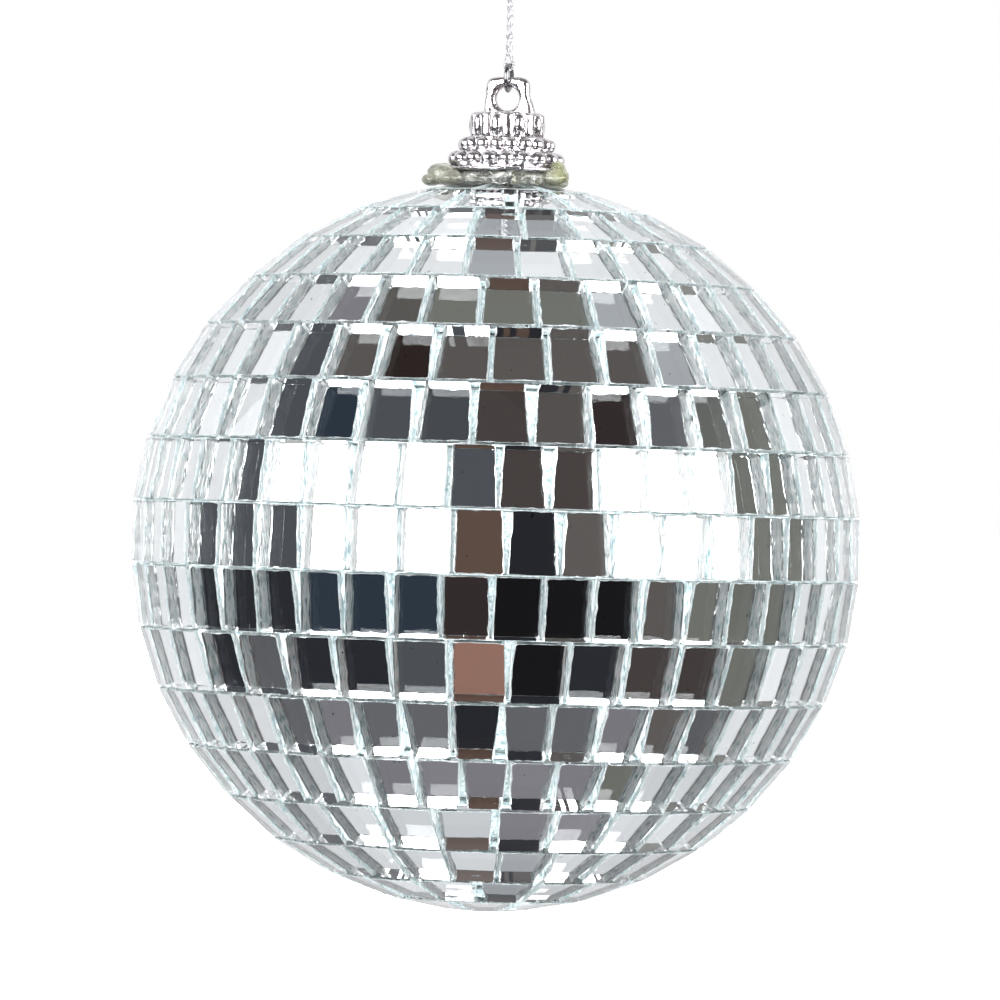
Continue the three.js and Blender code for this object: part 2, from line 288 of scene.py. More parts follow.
def foam():
    """Expanded polystyrene: white beads pressed together."""
    material, nodes = new_material("foam")
    beads = nodes.add("ShaderNodeTexVoronoi", feature="F1")
    nodes.link(nodes.object_point(), beads.inputs["Vector"])
    beads.inputs["Scale"].default_value = 400
    nodes.principled(
        Base_Color=nodes.ramp(beads.outputs[0], [(0.2, "f7f7f3"), (0.8, "dcdcd6")]),
        Roughness=0.9, Normal=nodes.bump(beads.outputs[0], 0.3 * MM, 0.5),
    )
    return material


def chromed_plastic():
    """Metallised moulding: bright and a little lumpy, with duller violet patches."""
    material, nodes = new_material("chromed_plastic")
    point = nodes.object_point()
    lumps = nodes.noise(point, 900, 3)
    dull = nodes.step(nodes.noise(point, 1300, 4), 0.48, 0.7)
    nodes.principled(
        Base_Color=nodes.mix(dull, linear("d3d0d3"), linear("a39ba0")),
        Metallic=0.96, Roughness=nodes.math("MULTIPLY_ADD", dull, 0.12, 0.13),
        Normal=nodes.bump(lumps, 0.3 * MM, 0.45),
    )
    return material


def steel_wire():
    """Dark drawn wire, finely scratched."""
    material, nodes = new_material("steel_wire")
    drawn = nodes.noise(nodes.object_point(), 3000, 3)
    nodes.principled(
        Base_Color=linear("8c8c8e"), Metallic=1.0,
        Roughness=nodes.math("MULTIPLY_ADD", drawn, 0.25, 0.12),
        Normal=nodes.bump(drawn, 0.01 * MM, 0.4),
    )
    return material


def silver_thread():
    """Metallised film yarn: facets along each ply in the bump, with their glints painted into the colour
    as brighter streaks.
    """
    material, nodes = new_material("silver_thread")
    facets_and_painted_glints = nodes.noise(nodes.object_point(), 6000, 2)
    # Painted glints: the same noise makes the colour brighter and darker along the plies.
    nodes.principled(
        Base_Color=nodes.ramp(facets_and_painted_glints, [(0.38, "84858a"), (0.6, "e2e2e5")]),
        Metallic=0.8, Roughness=0.3,
        Normal=nodes.bump(facets_and_painted_glints, 0.03 * MM, 0.6),
    )
    return material


def hot_melt():
    """Hot-melt glue: shiny, clear in the middle, greyish to the left and yellow-green to the right."""
    material, nodes = new_material("hot_melt")
    point = nodes.object_point()
    split = nodes.add("ShaderNodeSeparateXYZ")
    nodes.link(point, split.inputs[0])
    cloud = nodes.noise(point, 500, 4)
    ripples = nodes.noise(point, 1400, 2)
    aside = nodes.step(nodes.math("ABSOLUTE", split.outputs["X"]), 2.5 * MM, 6.0 * MM)
    greyish = nodes.ramp(cloud, [(0.35, "77786c"), (0.52, "969788"), (0.66, "c2c4b8")])
    yellowish = nodes.ramp(cloud, [(0.35, "7a7d52"), (0.52, "9b9d74"), (0.66, "c3c6a9")])
    cloudy = nodes.mix(nodes.step(split.outputs["X"], -2 * MM, 2 * MM), greyish, yellowish)
    nodes.principled(
        Base_Color=nodes.mix(aside, linear("f3f5ef"), cloudy),
        Roughness=0.06, IOR=1.48,
        Transmission_Weight=nodes.math("MULTIPLY_ADD", aside, -0.25, 0.95),
        Normal=nodes.bump(ripples, 0.12 * MM, 0.5),
    )
    return material


# Mesh helpers

def new_object(name, points, faces, materials, face_materials=None, smooth=False):
    mesh = bpy.data.meshes.new(name)
    mesh.from_pydata([tuple(p) for p in points], [], faces)
    for material in materials:
        mesh.materials.append(material)
    if face_materials:
        mesh.polygons.foreach_set("material_index", face_materials)
    if smooth:
        mesh.shade_smooth()
    mesh.update()
    made = bpy.data.objects.new(name, mesh)
    bpy.context.scene.collection.objects.link(made)
    return made


def grid_faces(rows, columns, close_rows=False):
    """Quads between rows of points, each row closed on itself."""
    faces = []
    for row in range(rows if close_rows else rows - 1):
        for column in range(columns):
            after = (column + 1) % columns
            above = (row + 1) % rows
            faces.append((row * columns + column, row * columns + after,
                          above * columns + after, above * columns + column))
    return faces


def ball_point(x, y, z):
    """A point in millimetres from the ball's centre, in the row frame."""
    return BALL_CENTRE + Vector((x, y, z)) * MM


# The glass tiles

# A tile's materials, in the order of its slots.
CLEAR, SNAPPED, SILVERED, WETTED = range(4)

# How far a tile's rim is chipped, picked at random: along its snapped sides and its clean-cut ends.
SIDE_CHIPS = [chip * MM for chip in (0.02, 0.03, 0.04, 0.05, 0.08, 0.15)]
END_CHIPS = [chip * MM for chip in (0.01, 0.02, 0.03, 0.04, 0.06, 0.12)]


def tile_matrix(latitude, azimuth):
    """A tile's own frame: x along the ring, y up the ball, z out of the ball, origin on its face."""
    east = Vector((-math.sin(azimuth), math.cos(azimuth), 0))
    out = Vector((math.cos(latitude) * math.cos(azimuth), math.cos(latitude) * math.sin(azimuth),
                  math.sin(latitude)))
    up = out.cross(east)
    turn = Matrix((east, up, out)).transposed().to_4x4()
    return Matrix.Translation(BALL_CENTRE + out * FACE_DISTANCE) @ turn


def pitch_at(latitude, height, count):
    """The distance between tiles' middles along a ring, at a height up its tiles' faces."""
    radius = FACE_DISTANCE * math.cos(latitude) - height * math.sin(latitude)
    return 2 * radius * math.tan(math.pi / count)


def tile_half_height(latitude, side, half_width):
    """From a tile's middle to its upper edge (side 1) or lower edge (side -1). The edge nearer the
    ball's equator is cut back, so that its corners clear the next ring."""
    border = abs(latitude + side * math.radians(RING_ANGLE / 2))
    if border > abs(latitude):
        return TILE_HALF_HEIGHT
    return TILE_HALF_HEIGHT - half_width ** 2 * math.tan(border) / (2 * FACE_DISTANCE)


def gap_between_tiles(latitude):
    """The gaps at the upper and lower ends of one joint between two tiles. Most are wedges, open at
    the top except low on the ball."""
    wide, narrow = random.uniform(0.6, 1.4) * MM, random.uniform(0.3, 0.6) * MM
    if random.random() < 0.3:
        wide = narrow + 0.1 * MM
    upper_wide = latitude > math.radians(-24)
    if random.random() < 0.12:
        upper_wide = not upper_wide
    return (wide, narrow) if upper_wide else (narrow, wide)


def tile_outline(corners):
    """Points round a tile's face from its four corners. Each is its place, the way inwards from its
    edge, and whether it is on a side edge. The corners are broken off a little."""
    outline = []
    steps = 7
    for i, start in enumerate(corners):
        start, end = Vector(start), Vector(corners[(i + 1) % 4])
        along = end - start
        inward = Vector((-along.y, along.x)).normalized()
        on_side = i % 2 == 0
        first = random.uniform(0.06, 0.35) * MM / along.length
        last = 1 - random.uniform(0.06, 0.35) * MM / along.length
        wander = (0.05 if on_side else 0.02) * MM
        for step in range(steps + 1):
            place = start + along * (first + (last - first) * step / steps)
            if 0 < step < steps:
                place += inward * random.uniform(-0.4, 1) * wander
            outline.append((place, inward, on_side))
    return outline


def add_tile(points, faces, kinds, matrix, corners):
    """One block of mirror glass: polished face, chipped rim, snapped sides and silvered back. Its
    ends taper a little, and adhesive wets its sides from a ragged line down."""
    outline = tile_outline(corners)
    count = len(outline)
    middle_x = sum(place.x for place, _, _ in outline) / count
    depths = [0.0, 0.07 * MM, 0.6 * MM, 1.25 * MM, GLASS_THICKNESS]
    slant = [random.uniform(-0.12, 0.12) * MM, random.uniform(-0.12, 0.12) * MM]
    base = len(points)
    for layer, depth in enumerate(depths):
        for place, inward, on_side in outline:
            if layer == 0:
                place = place + inward * random.choice(SIDE_CHIPS if on_side else END_CHIPS)
            elif on_side and 1 < layer < len(depths) - 1:
                place = place + inward * random.uniform(-0.02, 0.06) * MM
            elif not on_side:
                place = place + inward * 0.03 * MM * depth / GLASS_THICKNESS
            lean = slant[place.x > middle_x] * depth / GLASS_THICKNESS
            ragged = random.uniform(-0.25, 0.2) * MM if on_side and layer == 2 else 0.0
            points.append(matrix @ Vector((place.x + lean, place.y, ragged - depth)))
    faces.append(tuple(base + i for i in range(count)))
    kinds.append(CLEAR)
    for layer in range(len(depths) - 1):
        for i in range(count):
            after = (i + 1) % count
            low, high = base + (layer + 1) * count, base + layer * count
            faces.append((high + after, high + i, low + i, low + after))
            on_side = outline[i][2] or outline[after][2]
            if on_side and layer > 1:
                kinds.append(WETTED)
            else:
                kinds.append(SNAPPED if on_side or layer == 0 else CLEAR)
    back = base + (len(depths) - 1) * count
    faces.append(tuple(back + i for i in reversed(range(count))))
    kinds.append(SILVERED)


def make_tile_ring(number, latitude, count, turn, glass):
    """One ring of separate glass blocks, each set by hand and so a little out of true."""
    points, faces, kinds = [], [], []
    gap_height = 3.3 * MM
    gaps = [gap_between_tiles(latitude) for _ in range(count)]
    for tile in range(count):
        azimuth = math.radians(FRONT_AZIMUTH + turn + 360 * tile / count)
        halves = []
        for side in (1, -1):
            half_pitch = pitch_at(latitude, side * gap_height, count) / 2
            index = 0 if side == 1 else 1
            left = min(half_pitch - gaps[tile - 1][index] / 2, TILE_HALF_WIDTH)
            right = min(half_pitch - gaps[tile][index] / 2, TILE_HALF_WIDTH)
            halves.append((left, right, tile_half_height(latitude, side, max(left, right))))
        (left_high, right_high, high), (left_low, right_low, low) = halves
        corners = [(-left_high, high), (-left_low, -low), (right_low, -low), (right_high, high)]
        wobble = (Matrix.Rotation(math.radians(random.gauss(0, 0.5)), 4, "X")
                  @ Matrix.Rotation(math.radians(random.gauss(0, 0.6)), 4, "Y"))
        add_tile(points, faces, kinds, tile_matrix(latitude, azimuth) @ wobble, corners)
    ring = new_object(f"glass_tiles_{number:02d}", points, faces, glass, kinds)
    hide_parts(f"tile_strip_{number:02d}")
    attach(ring, "ball")


def make_tape_ring(number, latitude, count, turn, tape):
    """The tape behind one ring, flat behind each tile, and the adhesive in the seam below the ring."""
    points = []
    half = 3.25 * MM
    outer, inner = 37.9 * MM, 37.72 * MM
    for distance, heights in ((outer, (half, -half)), (inner, (-half, half))):
        for height in heights:
            reach = distance * math.cos(latitude) - height * math.sin(latitude)
            level = distance * math.sin(latitude) + height * math.cos(latitude)
            for tile in range(count):
                azimuth = math.radians(FRONT_AZIMUTH + turn + 360 * (tile + 0.5) / count)
                radius = reach / math.cos(math.pi / count)
                place = Vector((radius * math.cos(azimuth), radius * math.sin(azimuth), level))
                points.append(BALL_CENTRE + place)
    faces = [face[::-1] for face in grid_faces(4, count, close_rows=True)]
    add_seam(points, faces, latitude - math.radians(RING_ANGLE / 2))
    band = new_object(f"backing_tape_{number:02d}", points, faces, [tape])
    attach(band, "ball")


def add_seam(points, faces, latitude):
    """A ridge of adhesive between two rings, a little below their faces and uneven."""
    segments = 216
    top, top_half = 39.35 * MM, 0.06 * MM
    foot, foot_half = 38.6 * MM, 0.02 * MM
    base = len(points)
    for distance, half in ((top, -top_half), (foot, -foot_half), (foot, foot_half), (top, top_half)):
        for i in range(segments):
            azimuth = 2 * math.pi * i / segments
            rough = random.uniform(-0.2, 0.1) * MM if distance == top else 0.0
            reach = (distance + rough) * math.cos(latitude) - half * math.sin(latitude)
            level = (distance + rough) * math.sin(latitude) + half * math.cos(latitude)
            place = Vector((reach * math.cos(azimuth), reach * math.sin(azimuth), level))
            points.append(BALL_CENTRE + place)
    for face in grid_faces(4, segments, close_rows=True):
        faces.append(tuple(base + corner for corner in face))


def make_bottom_tile(glass):
    """The eight-sided tile that closes the bottom, with a fine bevel round its face."""
    points, faces, kinds = [], [], []
    matrix = tile_matrix(math.radians(-90), math.radians(FRONT_AZIMUTH))
    sides, radius, bevel = 8, 3.7 * MM, 0.06 * MM
    for depth, reach in ((0.0, radius - bevel), (bevel, radius), (GLASS_THICKNESS, radius)):
        for i in range(sides):
            angle = 2 * math.pi * (i + 0.5) / sides
            points.append(matrix @ Vector((reach * math.cos(angle), reach * math.sin(angle), -depth)))
    faces.append(tuple(range(sides)))
    kinds.append(CLEAR)
    for face in grid_faces(3, sides):
        faces.append(face[::-1])
        kinds.append(SNAPPED if face[0] >= sides else CLEAR)
    faces.append(tuple(reversed(range(2 * sides, 3 * sides))))
    kinds.append(SILVERED)
    tile = new_object("glass_bottom_tile", points, faces, glass, kinds)
    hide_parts("bottom_tile")
    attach(tile, "ball")


def make_ball():
    """All the rings of tiles from the crown down, their tape, and the bottom tile."""
    glass = [clear_glass(), snapped_glass(), silvering(), wetted_glass()]
    tape = backing_tape()
    for i, (count, turn) in enumerate(RINGS):
        latitude = math.radians(FIRST_RING_LATITUDE - RING_ANGLE * i)
        make_tile_ring(i + 1, latitude, count, turn, glass)
        make_tape_ring(i + 1, latitude, count, turn, tape)
    make_bottom_tile(glass)


def make_core():
    """The foam ball, with the hole for the crown's peg."""
    radius, hole, hole_bottom = 37.4, 1.8, 28
    profile = []
    steps = 48
    last = math.pi - math.asin(hole / radius)
    for i in range(1, steps + 1):
        angle = last * i / steps
        profile.append((radius * math.sin(angle), -radius * math.cos(angle)))
    profile += [(hole, hole_bottom), (0.01, hole_bottom)]
    profile.insert(0, (0.01, -radius))
    core = revolve("foam_ball", profile, 96, foam())
    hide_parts("foam_core")
    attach(core, "ball")


def revolve(name, profile, segments, material, shape=None):
    """A closed surface of [radius, height] points in millimetres turned about the ball's axis.
    shape(radius, height, angle) may move each point."""
    points = []
    for radius, height in profile:
        for i in range(segments):
            angle = 2 * math.pi * i / segments
            r, z = shape(radius, height, angle) if shape else (radius, height)
            points.append(ball_point(r * math.cos(angle), r * math.sin(angle), z))
    faces = grid_faces(len(profile), segments)
    faces.append(tuple(reversed(range(segments))))
    last = (len(profile) - 1) * segments
    faces.append(tuple(range(last, last + segments)))
    return new_object(name, points, faces, [material], smooth=True)


# The crown

# The crown's relief, in rows that stand proud of a turned base: how many in a row, where the first is
# in pitches, how much of its pitch each fills, the row's middle height and half height, the base
# radius, how proud, and how square each is from top to bottom. The last two rows are at the same
# height: ribs, and the panels between them.
RELIEF = [
    (18, 0.0, 0.98, 42.35, 0.86, 5.5, 1.0, 2),
    (18, 0.3, 0.9, 43.95, 0.72, 4.7, 0.66, 2.4),
    (9, 0.78, 0.46, 46.1, 1.2, 3.75, 0.5, 2),
    (9, 0.28, 0.5, 46.1, 1.36, 3.75, 0.36, 8),
]


def crown_radius(radius, height, angle):
    """The crown's surface: the turned profile with its beads, ribs and panels standing proud."""
    best = radius
    for count, phase, share, middle, half_height, base, proud, squareness in RELIEF:
        if abs(height - middle) < half_height and radius > base - 0.01:
            turn = (angle * count / (2 * math.pi) - phase) % 1 - 0.5
            across = abs(turn * 2) / share
            up = abs(height - middle) / half_height
            dome = 1 - across ** 2 - up ** squareness
            best = max(best, base + proud * math.sqrt(max(0.0, dome)))
    return best, height


def crown_profile():
    """Radius and height of the crown from its peg to its top, with many steps over the beads."""
    profile = [(0.01, 29), (1.0, 29), (1.5, 30.5), (1.5, CROWN_BASE), (FLANGE_RADIUS - 0.6, CROWN_BASE),
               (FLANGE_RADIUS - 0.15, 41.06), (FLANGE_RADIUS, 41.2), (FLANGE_RADIUS - 0.1, 41.4)]
    for _, _, _, middle, half_height, base, proud, _ in RELIEF[:3]:
        steps = 14 if proud > 0.5 else 20
        for i in range(steps + 1):
            share = -math.cos(math.pi * i / steps)
            profile.append((base, middle + half_height * share * 0.999))
    profile += [(3.7, 47.46), (3.3, 47.55), (2.6, 47.6), (1.6, 47.64), (0.01, 47.65)]
    return profile


def rounded(angle, power):
    """Cosine and sine of an angle on a square with round corners."""
    c, s = math.cos(angle), math.sin(angle)
    return math.copysign(abs(c) ** power, c), math.copysign(abs(s) ** power, s)


def make_crown(chrome):
    crown = revolve("crown", crown_profile(), 288, chrome, crown_radius)
    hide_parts("cap")
    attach(crown, "ball")


def make_crown_eye(chrome):
    """The eye: a plate with a round hole and rounded edges. It widens to a foot, mostly to the right."""
    around, across = 72, 28
    half_width, half_height, half_thickness = 2.5, 2.4, 0.6
    foot_top, foot_height, foot_thickening = 0.3, 2.5, 0.45
    foot_right, foot_left = 0.95, 0.25
    points = []
    for i in range(around):
        angle = 2 * math.pi * i / around
        spread = (abs(math.cos(angle) / half_width) ** 5 + abs(math.sin(angle) / half_height) ** 5) ** -0.2
        middle, half = (spread + EYE_RADIUS) / 2, (spread - EYE_RADIUS) / 2
        for j in range(across):
            c, s = rounded(2 * math.pi * j / across, 0.85)
            reach = middle + half * c
            x, z = reach * math.cos(angle), reach * math.sin(angle)
            foot = min(1.0, max(0.0, (foot_top - z) / foot_height)) * max(0.0, c)
            x += foot * (foot_right if x > 0 else -foot_left)
            y = -(half_thickness + foot_thickening * foot) * s
            points.append(ball_point(x * math.cos(EYE_TURN) - y * math.sin(EYE_TURN),
                                     x * math.sin(EYE_TURN) + y * math.cos(EYE_TURN), EYE_HEIGHT + z))
    faces = grid_faces(around, across, close_rows=True)
    eye = new_object("crown_eye", points, faces, [chrome], smooth=True)
    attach(eye, "ball")


# The glue's blobs: each one's centre and its half width, half depth and half height.
BLOBS = [
    ((-7.0, -1.2, 40.6), (1.7, 2.6, 1.2)),
    ((-8.0, -2.2, 39.9), (1.2, 1.7, 0.65)),
    ((-6.0, -3.6, 40.1), (1.4, 1.6, 0.8)),
    ((5.3, -3.7, 40.35), (1.5, 1.6, 0.9)),
    ((5.8, -1.2, 40.6), (1.1, 2.4, 1.0)),
    ((5.6, -2.3, 41.5), (0.9, 2.1, 0.9)),
    ((-5.4, 4.4, 40.3), (2.0, 2.0, 0.9)),
    ((0.6, 6.0, 40.1), (3.2, 1.2, 0.8)),
    ((5.0, 4.2, 40.2), (2.0, 2.0, 0.8)),
]


def glue_collar():
    """Points and faces of the glue's ring between the crown's underside and the top ring of tiles,
    which are tile_height above the ball's centre at tile_radius and fall outwards by tile_slope."""
    around, across = 64, 16
    middle_radius, half_width = 4.1, 1.85
    tile_height, tile_radius, tile_slope = 39.3, 6.2, 0.158
    points = []
    for i in range(around):
        angle = 2 * math.pi * i / around
        for j in range(across):
            c, s = rounded(2 * math.pi * j / across, 0.6)
            radius = middle_radius + half_width * c
            low = tile_height - tile_slope * (radius - tile_radius)
            points.append(ball_point(radius * math.cos(angle), radius * math.sin(angle),
                                     (low + CROWN_BASE) / 2 + (CROWN_BASE - low) / 2 * s))
    return points, grid_faces(around, across, close_rows=True)


def add_blob(points, faces, centre, halves):
    """Adds an ellipsoid, closed at its two poles by flat faces."""
    base = len(points)
    rows, columns = 14, 24
    for row in range(1, rows):
        lift = math.pi * row / rows
        for column in range(columns):
            turn = 2 * math.pi * column / columns
            points.append(ball_point(centre[0] + halves[0] * math.sin(lift) * math.cos(turn),
                                     centre[1] + halves[1] * math.sin(lift) * math.sin(turn),
                                     centre[2] - halves[2] * math.cos(lift)))
    faces += [tuple(base + k for k in face) for face in grid_faces(rows - 1, columns)]
    faces.append(tuple(base + k for k in reversed(range(columns))))
    faces.append(tuple(base + (rows - 2) * columns + k for k in range(columns)))


def make_glue():
    """Hot-melt glue squeezed out from under the crown in blobs that have run together."""
    points, faces = glue_collar()
    for centre, halves in BLOBS:
        add_blob(points, faces, centre, halves)
    glue = new_object("glue_bead", points, faces, [hot_melt()])
    merge = glue.modifiers.new("merge", "REMESH")
    merge.mode = "VOXEL"
    merge.voxel_size = 0.14 * MM
    merge.use_smooth_shade = True
    soften = glue.modifiers.new("soften", "SMOOTH")
    soften.iterations = 6
    apply_modifiers(glue)
    outward = [vertex.normal.copy() for vertex in glue.data.vertices]
    for vertex, direction in zip(glue.data.vertices, outward):
        place = (vertex.co - BALL_CENTRE) / MM
        lump = 0.2 * noise.noise(place * 0.9) + 0.05 * noise.noise(place * 2.3)
        vertex.co += direction * lump * MM
    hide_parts("hot_melt_glue")
    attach(glue, "ball")


def apply_modifiers(made):
    bpy.context.view_layer.update()
    shaped = made.evaluated_get(bpy.context.evaluated_depsgraph_get())
    mesh = bpy.data.meshes.new_from_object(shaped)
    made.modifiers.clear()
    made.data = mesh


# Wire and thread

def tube(points, faces, line, radius, sides):
    """Adds a round tube along a line of points, with closed ends."""
    base = len(points)
    for i, place in enumerate(line):
        ahead = line[min(i + 1, len(line) - 1)] - line[max(i - 1, 0)]
        tangent = ahead.normalized()
        side = tangent.cross(Vector((0, 1, 0.001))).normalized()
        other = tangent.cross(side)
        for j in range(sides):
            angle = 2 * math.pi * j / sides
            points.append(place + (side * math.cos(angle) + other * math.sin(angle)) * radius)
    for i in range(len(line) - 1):
        for j in range(sides):
            k = (j + 1) % sides
            a, b = base + i * sides, base + (i + 1) * sides
            faces.append((a + j, a + k, b + k, b + j))
    faces.append(tuple(base + j for j in reversed(range(sides))))
    last = base + (len(line) - 1) * sides
    faces.append(tuple(last + j for j in range(sides)))


def evenly(route, step):
    """A smooth line through the route's points, with points a step apart."""
    dense = []
    for i in range(len(route) - 1):
        before = route[max(i - 1, 0)]
        after = route[min(i + 2, len(route) - 1)]
        a, b = route[i], route[i + 1]
        for k in range(24):
            t = k / 24
            dense.append(0.5 * (2 * a + (b - before) * t
                                + (2 * before - 5 * a + 4 * b - after) * t ** 2
                                + (3 * a - before - 3 * b + after) * t ** 3))
    dense.append(route[-1])
    line, travelled = [dense[0]], 0.0
    for a, b in zip(dense, dense[1:]):
        travelled += (b - a).length
        if travelled >= step:
            line.append(b)
            travelled = 0.0
    line.append(dense[-1])
    return line


def strand(points, faces, line, offset, pitch, phase):
    """One strand of three plies, winding round the line at an offset."""
    ply_offset, ply_radius, ply_pitch = 0.1 * MM, 0.1 * MM, 0.9 * MM
    for ply in range(3):
        path, travelled = [], 0.0
        for i, place in enumerate(line):
            if i:
                travelled += (place - line[i - 1]).length
            tangent = (line[min(i + 1, len(line) - 1)] - line[max(i - 1, 0)]).normalized()
            side = tangent.cross(Vector((0, 1, 0.001))).normalized()
            other = tangent.cross(side)
            wide = phase + 2 * math.pi * travelled / pitch
            tight = 2 * math.pi * (ply / 3 + travelled / ply_pitch)
            path.append(place + (side * math.cos(wide) + other * math.sin(wide)) * offset
                        + (side * math.cos(tight) + other * math.sin(tight)) * ply_offset)
        tube(points, faces, path, ply_radius, 5)


def loop_route():
    """The hanging loop from the knot's left side over the hook and back, as in the CAD part."""
    reach = HOOK_RADIUS + STRAND_DIAMETER / 2
    low = KNOT_HIGH + 0.3 * MM
    sides = [(-0.25, low / MM), (-0.6, -22), (-1.15, -15), (-1.75, -8)]
    route = [Vector((x * MM, 0, z * MM)) for x, z in sides]
    for degrees in (172, 150, 120, 90, 60, 30, 8):
        angle = math.radians(degrees)
        route.append(Vector((reach * math.cos(angle), 0, reach * math.sin(angle) - HOOK_RADIUS)))
    route += [Vector((-x * MM, 0, z * MM)) for x, z in reversed(sides)]
    return route


def knot_line():
    """The coil that stands for the knot, tapered into the thread at both ends."""
    turns, reach, steps = 2.5, 0.72 * MM, 90
    height = KNOT_HIGH - KNOT_LOW - 0.7 * MM
    line = []
    for i in range(steps + 1):
        share = i / steps
        angle = 2 * math.pi * turns * share
        r = reach * min(1, 8 * share, 8 * (1 - share))
        level = KNOT_LOW + 0.35 * MM + height * share
        line.append(Vector((r * math.cos(angle), r * math.sin(angle), level)))
    return line


def tail_line(lean):
    """A cut end of the thread that sticks out of the knot, to the left (lean -1) or right (1)."""
    top = KNOT_HIGH / MM + 0.2
    route = [Vector((lean * (0.3 + 1.1 * t), 0.5 * lean * t, top + 1.5 * t - 0.5 * t * t)) * MM
             for t in (0, 0.25, 0.5, 0.75, 1)]
    return evenly(route, 0.2 * MM)


def make_thread(material, bight):
    """The doubled thread up from the ring, its knot, and the loop that goes over a hook."""
    points, faces = [], []
    low, high = Vector((0, 0, THREAD_LOW)), Vector((0, 0, KNOT_HIGH))
    straight = [low.lerp(high, i / 100) for i in range(101)]
    knot = knot_line()
    for phase in (0, math.pi):
        strand(points, faces, straight, 0.2 * MM, TWIST_PITCH, phase)
    for phase in (0, math.pi):
        strand(points, faces, knot, 0.19 * MM, 1.6 * MM, phase)
    for lean in (-1, 1):
        tube(points, faces, tail_line(lean), 0.17 * MM, 6)
    loop = evenly(loop_route(), 0.12 * MM)
    strand(points, faces, loop, 0.0, MM, 0)
    thread = new_object("silver_thread", points, faces, [material], smooth=True)
    path = [low, Vector((0, 0, THREAD_HIGH)), Vector((0, 0, KNOT_HIGH)), *loop_route()]
    path = evenly(path, 0.3 * MM)
    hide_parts("hanging_thread", "thread_knot", "hanging_loop")
    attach(thread, "hanger")


def make_bight(material):
    """The fold of the thread that goes through the ring, twisted down to just above its wire."""
    ring_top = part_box("jump_ring")[1].z - WIRE_RADIUS
    reach = 0.45 * MM
    start, end = THREAD_LOW + 0.1 * MM, ring_top + 1.0 * MM
    leg = []
    for i in range(13):
        level = start + (end - start) * i / 12
        angle = 2 * math.pi * (level - end) / TWIST_PITCH
        leg.append(Vector((-0.2 * MM * math.cos(angle), -0.2 * MM * math.sin(angle), level)))
    leg.append(Vector((-0.34 * MM, 0, ring_top + 0.55 * MM)))
    route = list(leg)
    for degrees in (180, 225, 270, 315, 360):
        angle = math.radians(degrees)
        route.append(Vector((reach * math.cos(angle), 0, ring_top + reach * math.sin(angle))))
    route += [Vector((-p.x, -p.y, p.z)) for p in reversed(leg)]
    points, faces = [], []
    strand(points, faces, evenly(route, 0.08 * MM), 0.0, MM, 0)
    bight = new_object("thread_fold", points, faces, [material], smooth=True)
    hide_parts("thread_bight")
    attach(bight, "bight")
    return bight


def make_jump_ring():
    """The split wire ring in the eye, its two ends a little out of line."""
    low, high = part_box("jump_ring")
    centre = (low + high) / 2
    radius = (high.z - low.z) / 2 - WIRE_RADIUS
    split, turn = math.radians(12), math.radians(12)
    line = []
    for i in range(73):
        angle = split / 2 + (2 * math.pi - split) * i / 72
        skew = 0.06 * MM * math.cos(angle / 2)
        across = radius * math.cos(angle)
        line.append(Vector((skew + across * math.sin(turn), centre.y + across * math.cos(turn),
                            centre.z + radius * math.sin(angle))))
    points, faces = [], []
    tube(points, faces, line, WIRE_RADIUS, 14)
    ring = new_object("wire_ring", points, faces, [steel_wire()], smooth=True)
    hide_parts("jump_ring")
    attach(ring, "ring")


# Studio

# The room's colours, as a mirror tile shows them.
BLACK, NIGHT, NAVY, BROWN = "181719", "292a2f", "2f3843", "362e2e"
UMBER, COCOA, SLATE, TAUPE = "463f3e", "5a4941", "4b4d52", "5a5553"
GREY, OLIVE, VIOLET, BLUSH, PALE = "626266", "70706a", "807d83", "9a7366", "a8aaae"

# What the mirrors reflect: a dark room in front with a softbox on each side, and a pale one behind.
# Azimuth 0 is in front of the ball and positive to its right. Each band of the room has its lowest
# and highest elevation, how soft its edges are, and the azimuths where its colours start. None
# leaves the pale background.
BANDS = [
    (-92, -68, 3, [(-180, None), (-105, VIOLET), (105, None), (130, VIOLET), (160, None)]),
    (-70, -36, 2, [(-180, None), (165, PALE)]),
    (-70, -47, 2, [(-180, None), (-100, VIOLET), (-60, GREY), (-15, NIGHT), (0, GREY), (45, VIOLET),
                   (90, OLIVE), (105, None)]),
    (-47, -29, 1, [(-180, None), (-110, GREY), (-85, NIGHT), (-35, SLATE), (-15, BLUSH), (5, BLACK),
                   (25, NIGHT), (45, UMBER), (80, TAUPE), (95, GREY), (118, None)]),
    (-29, -7, 1, [(-180, None), (-115, NIGHT), (-65, NAVY), (-15, BROWN), (0, BLACK), (45, TAUPE),
                  (60, OLIVE), (115, None)]),
    (-7, 12, 1, [(-180, None), (-108, SLATE), (-15, COCOA), (5, NIGHT), (20, TAUPE), (85, OLIVE),
                 (115, None)]),
    (12, 32, 1, [(-180, None), (-100, SLATE), (0, UMBER), (85, OLIVE), (110, None)]),
    (32, 48, 1, [(-180, None), (-98, SLATE), (-90, NAVY), (-50, SLATE), (-10, UMBER), (10, TAUPE),
                 (30, BROWN), (55, GREY), (100, None)]),
    (48, 68, 2, [(-180, PALE), (-170, None), (-118, VIOLET), (-95, TAUPE), (80, PALE), (100, None),
                 (165, PALE)]),
    (68, 92, 3, [(-180, PALE), (-165, None), (-115, OLIVE), (105, None), (160, PALE)]),
]

# The softboxes and a dark card above the left one: azimuths, then elevations.
SOFTBOXES = [(-69, -15, -7, 12), (-79, -15, 12, 32), (34, 84, -7, 32)]
CARD = (-56, -42, 54, 61)
CARD_COLOUR = "2c2422"
SOFTBOX_RADIANCE = 8.0

# The even light that falls on matt surfaces.
MATT_RADIANCE = 3.8

# A mirror tile loses light in its glass and silver, so the room is brighter than it looks in one.
MIRROR_LOSS = 1.15

